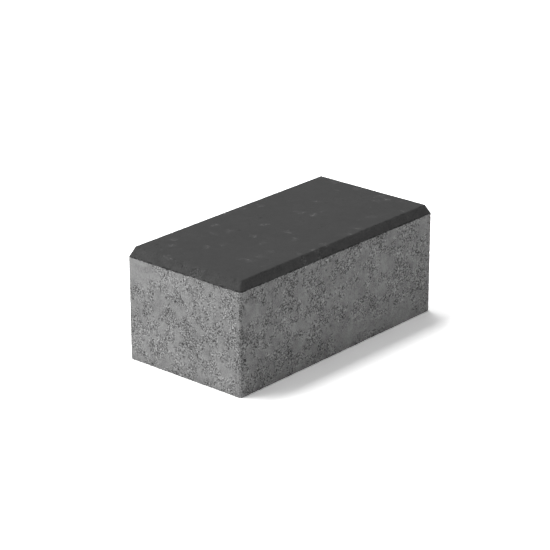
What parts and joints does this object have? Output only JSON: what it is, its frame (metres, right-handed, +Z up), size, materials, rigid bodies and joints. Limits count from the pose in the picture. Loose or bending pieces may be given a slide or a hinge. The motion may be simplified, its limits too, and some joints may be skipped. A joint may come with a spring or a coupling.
{
  "type": "concrete paving stone",
  "caption": "Rectangular pressed concrete paving stone: a grey backing body under a thin dark facing layer with bevelled edges, laid on its flat bed face.",
  "frame": {"origin": "centre of the bed face, the flat underside that the stone lies on", "axes": "+X along the stone's length, +Y across its width, +Z up out of the wearing face"},
  "size_m": [0.2, 0.1, 0.08],
  "materials": {
    "backing_concrete": "matte",
    "facing_concrete": "matte"
  },
  "bodies": {
    "root": {"backing_layer": "backing_concrete", "facing_layer": "facing_concrete"}
  },
  "joints": []
}
